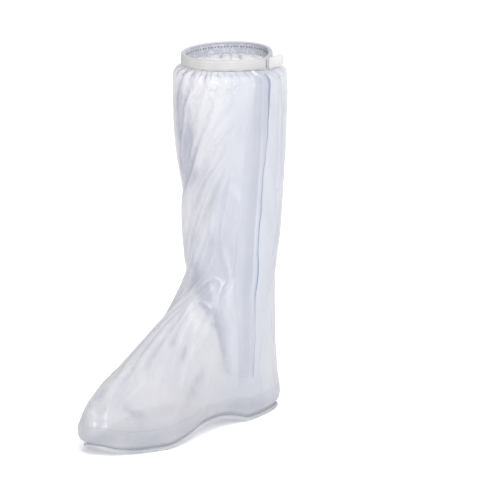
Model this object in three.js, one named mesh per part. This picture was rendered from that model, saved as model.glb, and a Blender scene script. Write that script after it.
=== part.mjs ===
// A tall see-through cover for a right shoe: a soft film boot welded to a thin outsole, with an elastic
// top band, a zip up its inner side under a flap, and a tab where the band's two ends meet.
// Millimetres. +Z is up, the toe points to -Y, and the wearer's left, where the zip is, is +X.
import * as THREE from "three";

// Overall sizes
const height = 384; // floor to the top of the band
const soleLength = 296; // heel to toe, over the film
const ballWidth = 104; // over the film at the ball of the foot
const instepHeight = 158; // where the foot's slope meets the leg
const ankleWidth = 93;
const ankleDepth = 106;
const calfWidth = 111;
const calfDepth = 125;
const legCentre = 84; // how far the ankle's middle is behind the middle of the sole
const calfLean = 4; // how far the calf's middle is in front of the ankle's
const bandLean = 8; // how far the band's middle is in front of the ankle's
const toeDrift = 6; // how far the toe's middle leans to the wearer's left
const archRise = 12; // how far the sole's waist stands off the floor
const toeSpring = 10; // how far the sole's tip stands off the floor
const riseReach = 70; // the height above which the arch and the toe's spring no longer bend the film

// Film
const filmWall = 1.2;
const gatherHeight = 14; // the film widens from the band to the calf over this height
const pleatCount = 19;
const pleatDepth = 1.9;
const pleatReach = 26; // below the band
const foldDepth = 5; // of the deepest fold
const foldWidth = 12; // of the widest fold, from its middle line

// Outsole
const soleThickness = 3.5;
const lipWidth = 2.8; // how far the sole's lip stands out round the film
const lipHeight = 3.2; // how far the lip stands up round the film's foot
const lipRound = 1.1;

// Top band
const bandWidth = 84;
const bandDepth = 99;
const bandHeight = 12.5;
const bandWall = 1.5;
const bandFold = 1.3; // the thickness of the band over the film's top edge
const bandSplit = 12; // how far the meeting of the band's ends is behind its middle
const bandGap = 2.4; // between the band's two ends
const liningWall = 1.3;
const liningHeight = 10.5;

// Closure
const slitWidth = 4.6; // between the film's edges at the zip
const zipBottom = 46; // above the floor
const zipAheadTop = 15; // how far the zip is in front of the ankle's middle, at the band
const zipAheadBottom = 19;
const tapeWidth = 20;
const tapeWall = 0.9;
const chainWidth = 3.4;
const chainRise = 1.9; // from the tape's face to the top of the teeth
const flapWidth = 26;
const flapWall = 1.2;
const flapOverlap = 8; // how far the flap's free edge runs past the zip
const flapDrop = 3.5; // from the band to the top of the flap and the zip
const tabLength = 21;
const tabHeight = 12;
const tabWall = 2;
const tabLap = 5; // the part of the tab that lies on the band
const tabSpread = 20; // degrees that the tab's free end stands off the band

// Clearances
const gap = 0.35;

// Mesh fineness
const rearColumns = 17;
const frontColumns = 18;
const toeRows = 4;
const slopeRows = 10;
const legRows = 9;
const gatherSteps = 4;
const bandColumns = 48;

const halfSole = soleLength / 2;
const halfBall = ballWidth / 2;
const lipTop = soleThickness + lipHeight;
const filmBottom = soleThickness + gap;
const bandBottom = height - bandHeight;
const filmTop = height - bandFold - gap;
const gatherBottom = bandBottom - gatherHeight;
const flapTop = bandBottom - flapDrop;

// The foot. "at" is a share of the instep's height. rear and front are shares of half the sole's length.
// heel, waist, ball and toe are half-widths, as shares of the ball's, and full is how square the ends are.
const footTable = [
  { at: 0.0, rear: 0.97, front: -0.955, heel: 0.69, waist: 0.67, ball: 0.92, toe: 0.7, full: 0.8 },
  { at: 0.04, rear: 0.985, front: -0.985, heel: 0.73, waist: 0.73, ball: 0.975, toe: 0.76, full: 0.81 },
  { at: 0.11, rear: 1.0, front: -1.0, heel: 0.75, waist: 0.79, ball: 1.0, toe: 0.8, full: 0.82 },
  { at: 0.2, rear: 1.0, front: -0.995, heel: 0.76, waist: 0.82, ball: 0.97, toe: 0.76, full: 0.85 },
  { at: 0.3, rear: 0.995, front: -0.95, heel: 0.76, waist: 0.83, ball: 0.89, toe: 0.68, full: 0.9 },
  { at: 0.4, rear: 0.99, front: -0.835, heel: 0.76, waist: 0.81, ball: 0.8, toe: 0.6, full: 0.93 },
  { at: 0.54, rear: 0.98, front: -0.545, heel: 0.77, waist: 0.78, ball: 0.71, toe: 0.56, full: 0.96 },
  { at: 0.7, rear: 0.965, front: -0.21, heel: 0.78, waist: 0.77, ball: 0.68, toe: 0.58, full: 0.98 },
  { at: 0.85, rear: 0.95, front: 0.06, heel: 0.8, waist: 0.8, ball: 0.74, toe: 0.68, full: 1.0 },
];

// How far the sole's underside rises off the floor. "at" is a share of the way from the heel to the toe.
const riseTable = [
  { at: 0.0, arch: 0, toe: 0 },
  { at: 0.24, arch: 0, toe: 0 },
  { at: 0.36, arch: 0.7, toe: 0 },
  { at: 0.44, arch: 1, toe: 0 },
  { at: 0.54, arch: 1, toe: 0 },
  { at: 0.65, arch: 0.45, toe: 0 },
  { at: 0.76, arch: 0, toe: 0 },
  { at: 0.84, arch: 0, toe: 0 },
  { at: 0.93, arch: 0, toe: 0.4 },
  { at: 1.0, arch: 0, toe: 1 },
];

// The leg. "at" is a share of the way from the instep to the gathers, and swell of the way from the
// ankle's size to the calf's.
const legTable = [
  { at: 0.0, swell: 0.0 },
  { at: 0.2, swell: 0.14 },
  { at: 0.4, swell: 0.42 },
  { at: 0.6, swell: 0.7 },
  { at: 0.8, swell: 0.9 },
  { at: 1.0, swell: 1.0 },
];

// The gathers. "at" is a share of their height, and draw of the way from the calf's size to the band's.
const gatherTable = [
  { at: 0.35, draw: 0.04 },
  { at: 0.7, draw: 0.3 },
  { at: 1.0, draw: 1.0 },
];

// The flap's front edge. "at" is a share of the way down, and wide a share of the flap's width.
const flapTable = [
  { at: 0.0, wide: 0.62 },
  { at: 0.22, wide: 1.0 },
  { at: 1.0, wide: 1.0 },
];

// The main folds of the film, hollows where deep is positive and ridges where it is negative. round runs
// from the heel (0) over the wearer's left (0.25) to the front (0.5) and back over the right, and up is a
// share of the height. deep and wide are shares of the depth and width of a fold.
const foldTable = [
  { round: 0.51, up: 0.88, toRound: 0.52, toUp: 0.58, deep: 0.6, wide: 0.7 },
  { round: 0.39, up: 0.82, toRound: 0.58, toUp: 0.48, deep: 0.8, wide: 0.6 },
  { round: 0.28, up: 0.93, toRound: 0.36, toUp: 0.62, deep: 0.6, wide: 0.6 },
  { round: 0.31, up: 0.92, toRound: 0.38, toUp: 0.66, deep: -0.5, wide: 0.6 },
  { round: 0.36, up: 0.67, toRound: 0.28, toUp: 0.6, deep: -0.4, wide: 0.4 },
  { round: 0.38, up: 0.67, toRound: 0.44, toUp: 0.5, deep: -0.5, wide: 0.8 },
  { round: 0.45, up: 0.6, toRound: 0.44, toUp: 0.46, deep: 0.5, wide: 0.6 },
  { round: 0.43, up: 0.5, toRound: 0.3, toUp: 0.28, deep: 0.8, wide: 0.6 },
  { round: 0.48, up: 0.4, toRound: 0.33, toUp: 0.36, deep: -0.5, wide: 0.7 },
  { round: 0.46, up: 0.37, toRound: 0.31, toUp: 0.31, deep: 0.9, wide: 0.7 },
  { round: 0.32, up: 0.32, toRound: 0.27, toUp: 0.16, deep: 1, wide: 0.8 },
  { round: 0.31, up: 0.21, toRound: 0.36, toUp: 0.06, deep: 0.8, wide: 0.9 },
  { round: 0.34, up: 0.07, toRound: 0.44, toUp: 0.07, deep: 0.5, wide: 0.6 },
  { round: 0.54, up: 0.38, toRound: 0.34, toUp: 0.2, deep: 0.5, wide: 0.5 },
  { round: 0.46, up: 0.3, toRound: 0.39, toUp: 0.17, deep: 0.4, wide: 0.6 },
  { round: 0.37, up: 0.28, toRound: 0.36, toUp: 0.14, deep: 0.4, wide: 0.5 },
  { round: 0.44, up: 0.15, toRound: 0.39, toUp: 0.1, deep: 0.6, wide: 0.6 },
  { round: 0.5, up: 0.18, toRound: 0.47, toUp: 0.05, deep: 0.5, wide: 0.7 },
  { round: 0.6, up: 0.88, toRound: 0.64, toUp: 0.55, deep: 0.6, wide: 0.7 },
  { round: 0.74, up: 0.9, toRound: 0.66, toUp: 0.52, deep: 0.7, wide: 0.7 },
  { round: 0.66, up: 0.6, toRound: 0.8, toUp: 0.46, deep: 0.6, wide: 0.6 },
  { round: 0.6, up: 0.42, toRound: 0.78, toUp: 0.36, deep: 0.9, wide: 0.7 },
  { round: 0.58, up: 0.37, toRound: 0.66, toUp: 0.16, deep: 0.6, wide: 0.7 },
  { round: 0.7, up: 0.32, toRound: 0.65, toUp: 0.08, deep: 0.7, wide: 0.8 },
  { round: 0.84, up: 0.88, toRound: 0.8, toUp: 0.5, deep: 0.6, wide: 0.7 },
  { round: 0.95, up: 0.36, toRound: 0.82, toUp: 0.24, deep: 0.6, wide: 0.7 },
  { round: 0.04, up: 0.86, toRound: 0.97, toUp: 0.5, deep: 0.7, wide: 0.8 },
  { round: 0.1, up: 0.8, toRound: 0.06, toUp: 0.5, deep: 0.5, wide: 0.7 },
  { round: 0.12, up: 0.45, toRound: 0.02, toUp: 0.32, deep: 0.6, wide: 0.6 },
  { round: 0.15, up: 0.3, toRound: 0.06, toUp: 0.14, deep: 0.6, wide: 0.7 },
];

// A value read from a table at a key, on a smooth curve that never overshoots its rows.
function readTable(table, key, name, at) {
  const last = table.length - 1;
  if (at <= table[0][key]) return table[0][name];
  if (at >= table[last][key]) return table[last][name];
  let i = 0;
  while (at > table[i + 1][key]) i += 1;
  const slope = (k) => {
    if (k < 0 || k >= last) return 0;
    return (table[k + 1][name] - table[k][name]) / (table[k + 1][key] - table[k][key]);
  };
  const tangent = (k) => {
    const [before, after] = [slope(k - 1), slope(k)];
    return before * after <= 0 ? 0 : (2 * before * after) / (before + after);
  };
  const step = table[i + 1][key] - table[i][key];
  const t = (at - table[i][key]) / step;
  const rise = t * t * (3 - 2 * t);
  return (
    table[i][name] * (1 - rise) +
    table[i + 1][name] * rise +
    step * tangent(i) * t * (1 - t) * (1 - t) -
    step * tangent(i + 1) * t * t * (1 - t)
  );
}

const mix = (a, b, share) => a + (b - a) * share;

// Every row of the film's outline from the sole to the band, in millimetres.
function outlineRows() {
  const foot = footTable.map((row) => ({
    z: mix(filmBottom, instepHeight, row.at),
    rear: row.rear * halfSole,
    front: row.front * halfSole,
    heel: row.heel * halfBall,
    waist: row.waist * halfBall,
    ball: row.ball * halfBall,
    toe: row.toe * halfBall,
    full: row.full,
  }));
  const oval = (z, wide, deep, middle) => ({
    z,
    rear: middle + deep / 2,
    front: middle - deep / 2,
    heel: wide / 2,
    waist: wide / 2,
    ball: wide / 2,
    toe: wide / 2,
    full: 1,
  });
  const leg = legTable.map((row) =>
    oval(
      mix(instepHeight, gatherBottom, row.at),
      mix(ankleWidth, calfWidth, row.swell),
      mix(ankleDepth, calfDepth, row.swell),
      legCentre - calfLean * row.at,
    ),
  );
  const gathers = gatherTable.map((row) =>
    oval(
      mix(gatherBottom, bandBottom, row.at),
      mix(calfWidth, bandWidth, row.draw),
      mix(calfDepth, bandDepth, row.draw),
      legCentre - mix(calfLean, bandLean, row.draw),
    ),
  );
  return [...foot, ...leg, ...gathers, oval(height, bandWidth, bandDepth, legCentre - bandLean)];
}
const rows = outlineRows();

// Where the zip runs, from the front of the sole's middle to its rear, at a height.
function sideLine(z) {
  return legCentre - mix(zipAheadBottom, zipAheadTop, (z - zipBottom) / (height - zipBottom));
}

// Where the half-widths of a row lie, as shares of the outline's length from the heel.
const widthPlaces = { heel: 0.1, waist: 0.42, ball: 0.72, toe: 0.95 };

// The film's outline at a height: a point of it at an angle from the heel, the way out there, level, and
// the angle on the wearer's left that lies so far back.
function outlineAt(z) {
  const read = (name) => readTable(rows, "z", name, z);
  const [rear, front, full] = [read("rear"), read("front"), read("full")];
  const widths = Object.entries(widthPlaces).map(([name, place]) => ({ place, half: read(name) }));
  const middle = (rear + front) / 2;
  const halfLength = (rear - front) / 2;
  const drift = toeDrift * Math.max(0, -front / halfSole);
  const point = (angle) => {
    const forward = (1 - Math.cos(angle)) / 2;
    const half = readTable(widths, "place", "half", forward);
    const side = Math.sign(Math.sin(angle)) * Math.abs(Math.sin(angle)) ** full;
    return new THREE.Vector3(half * side + drift * forward * forward, middle + halfLength * Math.cos(angle), z);
  };
  const level = (angle) => {
    const along = point(angle + 0.02).sub(point(angle - 0.02)).normalize();
    return new THREE.Vector3(-along.y, along.x, 0);
  };
  const angleOf = (y) => Math.acos(THREE.MathUtils.clamp((y - middle) / halfLength, -1, 1));
  return { point, level, angleOf };
}

// The angle of a place round the outline: 0 the heel, 0.25 the zip's line, 0.5 the front, 0.75 its twin.
function angleAt(outline, z, round, shift = 0) {
  const share = round <= 0.5 ? round : 1 - round;
  const side = outline.angleOf(sideLine(z) + shift);
  const angle = share <= 0.25 ? side * share * 4 : mix(side, Math.PI, (share - 0.25) * 4);
  return round <= 0.5 ? angle : -angle;
}

// How far the sole and the film's foot are lifted off the floor at a place along Y.
function riseAt(y) {
  const at = (halfSole - y) / soleLength;
  return archRise * readTable(riseTable, "at", "arch", at) + toeSpring * readTable(riseTable, "at", "toe", at);
}

// The film's outer face without its folds, at a place round it and a height.
function basePoint(round, z, shift = 0) {
  const outline = outlineAt(z);
  const point = outline.point(angleAt(outline, z, round, shift));
  point.z += riseAt(point.y) * (1 - THREE.MathUtils.smoothstep(z, lipTop, riseReach));
  return point;
}

// The way out of the film at a place. At the sole and in the band it is level.
function wayOut(round, z, shift = 0) {
  const turn = 0.004;
  const climb = height / 250;
  const across = basePoint((round + turn) % 1, z, shift).sub(basePoint((round + 1 - turn) % 1, z, shift));
  const up = basePoint(round, z + climb, shift).sub(basePoint(round, z - climb, shift));
  const out = up.cross(across);
  if (z <= filmBottom || z >= bandBottom) out.z = 0;
  return out.normalize();
}

// The middle line of a fold, as points on the film.
const foldSteps = 8;
const folds = foldTable.map((fold) => ({
  deep: fold.deep * foldDepth,
  wide: fold.wide * foldWidth,
  line: Array.from({ length: foldSteps - 1 }, (_, i) => {
    const share = (i + 1) / foldSteps;
    return {
      point: basePoint(mix(fold.round, fold.toRound, share), mix(fold.up, fold.toUp, share) * height),
      fade: Math.sin(Math.PI * share),
    };
  }),
}));

// How far the folds push a point of the film out. A fold fades towards its ends.
function foldPush(point) {
  let push = 0;
  for (const { deep, wide, line } of folds) {
    let most = 0;
    for (const step of line) {
      const away = point.distanceTo(step.point) / wide;
      most = Math.max(most, step.fade * Math.exp(-away * away));
    }
    push -= deep * most;
  }
  return push;
}

// The small pleats under the band. They are nothing inside the band, where the film is flat.
function pleatPush(round, z) {
  const below = (bandBottom - z) / pleatReach;
  if (below <= 0 || below >= 1) return 0;
  return pleatDepth * Math.sin(Math.PI * Math.sqrt(below)) * Math.cos(2 * Math.PI * pleatCount * round);
}

// The film stays smooth where the zip and its flap are sewn on.
function keepsSmooth(point, z) {
  const away = Math.abs(point.y - sideLine(z));
  return point.x > 0 ? THREE.MathUtils.smoothstep(away, flapWidth, flapWidth * 1.5) : 1;
}

// The film's outer face at a place, with the way out there.
function filmPoint(round, z, shift = 0) {
  const point = basePoint(round, z, shift);
  const out = wayOut(round, z, shift);
  const settled = THREE.MathUtils.smoothstep(z, lipTop, lipTop + halfBall / 4);
  const push = (foldPush(point) + pleatPush(round, z)) * keepsSmooth(point, z) * settled;
  return { outside: point.addScaledVector(out, push), out };
}

// A closed body from its points and triangles, which all turn the same way, with its faces turned out.
function bodyFrom(positions, faces) {
  const at = (k) => new THREE.Vector3().fromArray(positions, 3 * k);
  let volume = 0;
  for (let i = 0; i < faces.length; i += 3) {
    volume += at(faces[i]).dot(at(faces[i + 1]).cross(at(faces[i + 2])));
  }
  const geometry = new THREE.BufferGeometry();
  geometry.setAttribute("position", new THREE.Float32BufferAttribute(positions, 3));
  geometry.setIndex(volume < 0 ? faces.toReversed() : faces);
  return geometry.toNonIndexed();
}

// A closed wall from a grid of rows, each a ring of places with an outer and an inner point. cell(i, j)
// says whether the wall is there. Every open edge gets a side wall.
function wallGeometry(grid, cell) {
  const [high, wide] = [grid.length, grid[0].length];
  const positions = grid.flat().flatMap(({ outer, inner }) => [...outer.toArray(), ...inner.toArray()]);
  const corner = (i, j, inside) => 2 * (i * wide + (j % wide)) + inside;
  const faces = [];
  const quad = (a, b, c, d) => faces.push(a, b, c, a, c, d);
  const there = (i, j) => i >= 0 && i < high - 1 && cell(i, (j + wide) % wide);
  for (let i = 0; i < high - 1; i += 1) {
    for (let j = 0; j < wide; j += 1) {
      if (!there(i, j)) continue;
      quad(corner(i, j, 0), corner(i, j + 1, 0), corner(i + 1, j + 1, 0), corner(i + 1, j, 0));
      quad(corner(i, j, 1), corner(i + 1, j, 1), corner(i + 1, j + 1, 1), corner(i, j + 1, 1));
      if (!there(i - 1, j)) quad(corner(i, j, 0), corner(i, j, 1), corner(i, j + 1, 1), corner(i, j + 1, 0));
      if (!there(i + 1, j)) {
        quad(corner(i + 1, j, 0), corner(i + 1, j + 1, 0), corner(i + 1, j + 1, 1), corner(i + 1, j, 1));
      }
      if (!there(i, j - 1)) quad(corner(i, j, 0), corner(i + 1, j, 0), corner(i + 1, j, 1), corner(i, j, 1));
      if (!there(i, j + 1)) {
        quad(corner(i, j + 1, 0), corner(i, j + 1, 1), corner(i + 1, j + 1, 1), corner(i + 1, j + 1, 0));
      }
    }
  }
  return bodyFrom(positions, faces);
}

// A closed body from sections that each hold the same number of points. cap holds the triangles that
// close an end, turned as the section is.
function loftGeometry(sections, cap) {
  const count = sections[0].length;
  const faces = [];
  for (let i = 0; i < sections.length - 1; i += 1) {
    for (let j = 0; j < count; j += 1) {
      const [a, b] = [i * count + j, i * count + ((j + 1) % count)];
      faces.push(a, b, b + count, a, b + count, a + count);
    }
  }
  const last = (sections.length - 1) * count;
  for (const [a, b, c] of cap) faces.push(c, b, a, last + a, last + b, last + c);
  return bodyFrom(
    sections.flat().flatMap((point) => point.toArray()),
    faces,
  );
}

// The triangles that fill a section whose points are pairs in its own plane.
function flatCap(section) {
  const plan = section.map(([across, up]) => new THREE.Vector2(across, up));
  const turn = (points) => Math.sign(THREE.ShapeUtils.area(points));
  return THREE.ShapeUtils.triangulateShape(plan, []).map(([a, b, c]) =>
    turn([plan[a], plan[b], plan[c]]) === turn(plan) ? [a, b, c] : [c, b, a],
  );
}

// The triangles that fill a ring with rungs from each point to its twin on the other side.
function ladderCap(count) {
  const cap = [];
  for (let j = 0; j < count / 2; j += 1) {
    const [a, b, c, d] = [j, j + 1, count - j - 1, (count - j) % count];
    if (b !== c) cap.push([a, b, c]);
    if (a !== d) cap.push([a, c, d]);
  }
  return cap;
}

// The places round the film, with the slit's two edges at the zip and at its twin on the other side.
function placesRound() {
  const places = [];
  const half = slitWidth / 2;
  for (let i = 0; i <= rearColumns; i += 1) places.push({ round: (0.25 * i) / rearColumns, shift: half });
  for (let i = 0; i <= frontColumns; i += 1) {
    places.push({ round: 0.25 + (0.25 * i) / frontColumns, shift: -half });
  }
  const other = places.slice(1, -1).reverse();
  return [...places, ...other.map(({ round, shift }) => ({ round: 1 - round, shift }))];
}
const places = placesRound();

// The heights of the film's rows.
const spaced = (from, to, steps) => Array.from({ length: steps }, (_, i) => mix(from, to, i / steps));
const footLevels = [filmBottom, ...spaced(lipTop, zipBottom, toeRows)];
const zipLevels = [
  ...spaced(zipBottom, instepHeight, slopeRows),
  ...spaced(instepHeight, gatherBottom, legRows),
  ...spaced(gatherBottom, flapTop, gatherSteps),
  flapTop,
];
const filmLevels = [...footLevels, ...zipLevels, bandBottom, filmTop];

// The film: one wall all round, open at the top and at the sole, with the zip's slit in it.
function makeFilm() {
  const grid = filmLevels.map((z) =>
    places.map(({ round, shift }) => {
      const { outside, out } = filmPoint(round, z, shift);
      return { outer: outside, inner: outside.clone().addScaledVector(out, -filmWall) };
    }),
  );
  return wallGeometry(grid, (i, j) => j !== rearColumns || i < footLevels.length);
}

// The outsole: a flat plate with a rounded lip that stands up round the film's foot.
function makeOutsole() {
  const outline = outlineAt(lipTop);
  const ring = (off, z) =>
    places.map(({ round, shift }) => {
      const angle = angleAt(outline, lipTop, round, shift);
      const point = outline.point(angle);
      return point.setZ(z + riseAt(point.y)).addScaledVector(outline.level(angle), off);
    });
  const rings = [
    ring(gap + lipWidth - lipRound, 0),
    ring(gap + lipWidth, lipRound),
    ring(gap + lipWidth, lipTop - lipRound),
    ring(gap + lipWidth - lipRound, lipTop),
    ring(gap, lipTop),
    ring(gap, soleThickness),
  ];
  return loftGeometry(rings, ladderCap(places.length));
}

// A strip that follows the zip up the film. section(share) gives its points at a share of the way up, as
// distances to the rear of the zip and off the film's outer face.
function zipStrip(section) {
  const beside = (z, across, off) =>
    basePoint(0.25, z, across).addScaledVector(wayOut(0.25, z, across), off);
  const start = zipBottom + (slitWidth - chainWidth) / 2;
  const sections = [start, ...zipLevels.slice(1)].map((z) =>
    section((z - start) / (flapTop - start)).map(([across, off]) => beside(z, across, off)),
  );
  return loftGeometry(sections, flatCap(section(0)));
}

// The zip: its tape lies inside the film and its teeth fill the slit.
const tapeFace = -filmWall - gap;
const teethTop = tapeFace + chainRise;
function zipSection() {
  const [tape, chain] = [tapeWidth / 2, chainWidth / 2];
  return [
    [-tape, tapeFace - tapeWall],
    [tape, tapeFace - tapeWall],
    [tape, tapeFace],
    [chain, tapeFace],
    [chain, teethTop],
    [-chain, teethTop],
    [-chain, tapeFace],
    [-tape, tapeFace],
  ];
}

// The flap: welded along its front edge, humped over the teeth, and free along its rear edge.
function flapSection(share) {
  const front = flapOverlap - flapWidth * readTable(flapTable, "at", "wide", 1 - share);
  const under = [
    [front, gap],
    [mix(front, -chainWidth, 0.4), gap],
    [mix(front, -chainWidth, 0.8), gap],
    [-chainWidth / 2, Math.max(0, teethTop) + gap],
    [chainWidth / 2, Math.max(0, teethTop) + gap],
    [flapOverlap, gap],
  ];
  const over = under.map(([across, off]) => [across, off + flapWall]);
  return [...under, ...over.reverse()];
}

// A strip that runs round the top but for a gap whose middle is at a place along Y. Its section's points
// are distances off the film's outer face and heights.
const bandOutline = outlineAt(height);
function bandLoop(split, section) {
  const from = bandOutline.angleOf(split + bandGap / 2);
  const to = bandOutline.angleOf(split - bandGap / 2) - 2 * Math.PI;
  const sections = Array.from({ length: bandColumns + 1 }, (_, i) => {
    const angle = mix(from, to, i / bandColumns);
    const out = bandOutline.level(angle);
    return section.map(([off, z]) => bandOutline.point(angle).addScaledVector(out, off).setZ(z));
  });
  return loftGeometry(sections, flatCap(section));
}

// The band: an outer wall that folds in over the top edges of the film and the lining.
const splitPlace = legCentre - bandLean + bandSplit;
const liningFace = -filmWall - gap;
function makeBand() {
  const [outer, inner] = [gap + bandWall, liningFace - liningWall];
  const bevel = bandFold / 2;
  return bandLoop(splitPlace, [
    [gap, bandBottom],
    [outer, bandBottom],
    [outer, height - bevel],
    [outer - bevel, height],
    [inner + bevel, height],
    [inner, height - bevel],
    [inner, height - bandFold],
    [gap, height - bandFold],
  ]);
}

// The lining: a strip of elastic inside the film, open where the zip is.
function makeLining() {
  const [outer, inner] = [liningFace, liningFace - liningWall];
  return bandLoop(sideLine(height), [
    [inner, filmTop - liningHeight],
    [outer, filmTop - liningHeight],
    [outer, filmTop],
    [inner, filmTop],
  ]);
}

// The tab: it starts at the band's rear end, lies on the band, and its free end stands off to the rear.
const tabCorners = [
  [0, -1],
  [1, -1],
  [1, 1],
  [0, 1],
];
function makeTab() {
  const angle = bandOutline.angleOf(splitPlace + bandGap / 2);
  const off = 2 * gap + bandWall;
  const start = bandOutline.point(angle).addScaledVector(bandOutline.level(angle), off);
  const rearward = bandOutline.point(angle - 0.02).sub(bandOutline.point(angle)).normalize();
  const middle = height - bandHeight / 2;
  const steps = [0, tabLap, mix(tabLap, tabLength, 0.3), mix(tabLap, tabLength, 0.85), tabLength];
  const spreads = [0, 0.5, 1, 1].map((share) => THREE.MathUtils.degToRad(tabSpread * share));
  const tall = [0.5, 0.5, 0.5, 0.5, 0.4];
  const upright = new THREE.Vector3(0, 0, 1);
  const place = start.clone();
  const sections = steps.map((step, i) => {
    const spread = spreads[Math.min(i, spreads.length - 1)];
    if (i > 0) {
      const way = rearward.clone().applyAxisAngle(upright, -spreads[i - 1]);
      place.addScaledVector(way, step - steps[i - 1]);
    }
    const out = bandOutline.level(angle).applyAxisAngle(upright, -spread);
    const half = tall[i] * tabHeight;
    return tabCorners.map(([thick, up]) =>
      place
        .clone()
        .addScaledVector(out, thick * tabWall)
        .setZ(middle + up * half),
    );
  });
  return loftGeometry(sections, flatCap(tabCorners));
}

const material = (color, roughness, opacity = 1) =>
  new THREE.MeshStandardMaterial({ color, roughness, metalness: 0, opacity, transparent: opacity < 1 });

const clearFilm = material(0xe6e8f4, 0.3, 0.6);
const milkySole = material(0xdfe3ea, 0.4, 0.85);
const whiteTape = material(0xf1f1f0, 0.75);
const greyKnit = material(0xc9cad0, 0.9);
const whiteTeeth = material(0xe9eaee, 0.45);

const cover = new THREE.Group();
function addPart(name, geometry, look) {
  const mesh = new THREE.Mesh(geometry, look);
  mesh.name = name;
  cover.add(mesh);
}
addPart("film_boot", makeFilm(), clearFilm);
addPart("outsole", makeOutsole(), milkySole);
addPart("side_zip", zipStrip(zipSection), whiteTeeth);
addPart("zip_flap", zipStrip(flapSection), clearFilm);
addPart("top_band", makeBand(), whiteTape);
addPart("elastic_lining", makeLining(), greyKnit);
addPart("closure_tab", makeTab(), whiteTape);

// The origin is on the floor under the middle of the whole cover.
const box = new THREE.Box3().setFromObject(cover);
const middle = box.getCenter(new THREE.Vector3());
cover.position.set(-middle.x, -middle.y, -box.min.z);

export default cover;
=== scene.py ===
"""A tall see-through shoe cover: its film, outsole, band, lining, tab, flap and zip.

Sizes are in millimetres and follow the part's source. Blender's own lengths are in metres.
"""
import math

import bmesh
import bpy
import numpy as np
from mathutils import Matrix, Vector


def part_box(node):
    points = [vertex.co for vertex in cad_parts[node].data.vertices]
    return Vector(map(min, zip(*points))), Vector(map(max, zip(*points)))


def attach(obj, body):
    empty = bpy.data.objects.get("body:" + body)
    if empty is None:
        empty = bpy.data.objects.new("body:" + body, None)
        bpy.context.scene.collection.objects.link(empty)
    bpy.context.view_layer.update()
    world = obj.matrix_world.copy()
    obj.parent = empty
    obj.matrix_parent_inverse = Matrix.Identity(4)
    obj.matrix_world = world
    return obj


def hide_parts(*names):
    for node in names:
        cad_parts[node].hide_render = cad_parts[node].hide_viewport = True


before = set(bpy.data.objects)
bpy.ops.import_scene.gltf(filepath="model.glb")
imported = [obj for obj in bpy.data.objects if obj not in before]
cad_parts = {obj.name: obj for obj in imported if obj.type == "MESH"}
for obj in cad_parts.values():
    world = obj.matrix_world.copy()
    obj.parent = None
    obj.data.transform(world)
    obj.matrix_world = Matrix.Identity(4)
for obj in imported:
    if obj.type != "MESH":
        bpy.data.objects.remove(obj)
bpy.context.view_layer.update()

# Sizes of the part
HEIGHT = 384.0
SOLE_LENGTH = 296.0
BALL_WIDTH = 104.0
INSTEP_HEIGHT = 158.0
ANKLE_WIDTH, ANKLE_DEPTH = 93.0, 106.0
CALF_WIDTH, CALF_DEPTH = 111.0, 125.0
LEG_CENTRE = 84.0
CALF_LEAN, BAND_LEAN = 4.0, 8.0
TOE_DRIFT = 6.0
ARCH_RISE, TOE_SPRING, RISE_REACH = 12.0, 10.0, 70.0
FILM_WALL = 1.2
GATHER_HEIGHT = 14.0
PLEAT_COUNT, PLEAT_DEPTH, PLEAT_REACH = 19, 1.9, 26.0
FOLD_DEPTH, FOLD_WIDTH = 5.0, 12.0
SOLE_THICKNESS, LIP_WIDTH, LIP_HEIGHT = 3.5, 2.8, 3.2
BAND_WIDTH, BAND_DEPTH, BAND_HEIGHT = 84.0, 99.0, 12.5
BAND_WALL, BAND_FOLD, BAND_SPLIT, BAND_GAP = 1.5, 1.3, 12.0, 2.4
LINING_WALL, LINING_HEIGHT = 1.3, 10.5
SLIT_WIDTH = 4.6
ZIP_BOTTOM = 46.0
ZIP_AHEAD_TOP, ZIP_AHEAD_BOTTOM = 15.0, 19.0
TAPE_WIDTH, TAPE_WALL, CHAIN_WIDTH, CHAIN_RISE = 20.0, 0.9, 3.4, 1.9
FLAP_WIDTH, FLAP_WALL, FLAP_OVERLAP, FLAP_DROP = 26.0, 1.2, 8.0, 3.5
TAB_LENGTH, TAB_HEIGHT, TAB_WALL, TAB_LAP, TAB_SPREAD = 21.0, 12.0, 2.0, 5.0, 20.0
GAP = 0.35

HALF_SOLE = SOLE_LENGTH / 2
HALF_BALL = BALL_WIDTH / 2
LIP_TOP = SOLE_THICKNESS + LIP_HEIGHT
FILM_BOTTOM = SOLE_THICKNESS + GAP
BAND_BOTTOM = HEIGHT - BAND_HEIGHT
FILM_TOP = HEIGHT - BAND_FOLD - GAP
GATHER_BOTTOM = BAND_BOTTOM - GATHER_HEIGHT
FLAP_TOP = BAND_BOTTOM - FLAP_DROP
BAND_SPLIT_PLACE = LEG_CENTRE - BAND_LEAN + BAND_SPLIT
LINING_FACE = -FILM_WALL - GAP
CHAIN_START = ZIP_BOTTOM + (SLIT_WIDTH - CHAIN_WIDTH) / 2

# What the scene adds to the part's own sizes: how far the top droops where the band's ends meet and how wide
# that dip is, how far the film stands proud, how deep its shaded streaks lie, how the band, lip, tab and flap
# differ from the solids, and how high the line of the foot's weld runs.
DROOP, DROOP_REACH = 3.6, 30.0
FOOT_PROUD, LEG_PROUD, LIP_PROUD, TOE_PROUD = 1.8, 1.3, 1.4, 2.2
SHADE_DEPTH = 0.4
BAND_LIFT = 1.4
LIP_SLIM = 0.9
TAB_SLIDE, TAB_SINK, TAB_CORNER = 1.6, 0.4, 2.6
FLAP_SWING = 4.0
WELD_HEIGHT = 24.0

# The cloth simulation: how much the film swells in millimetres and turns in degrees before it is drawn to
# its true shape, how firmly the loosest of it is held, the frame by which it is drawn, the last frame, and
# the cap on how far a point may move.
SWELL, TWIST, LOOSE = 2.2, -10.0, 0.15
DRAWN_BY, FRAMES, CAP = 10, 24, 7.0

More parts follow.
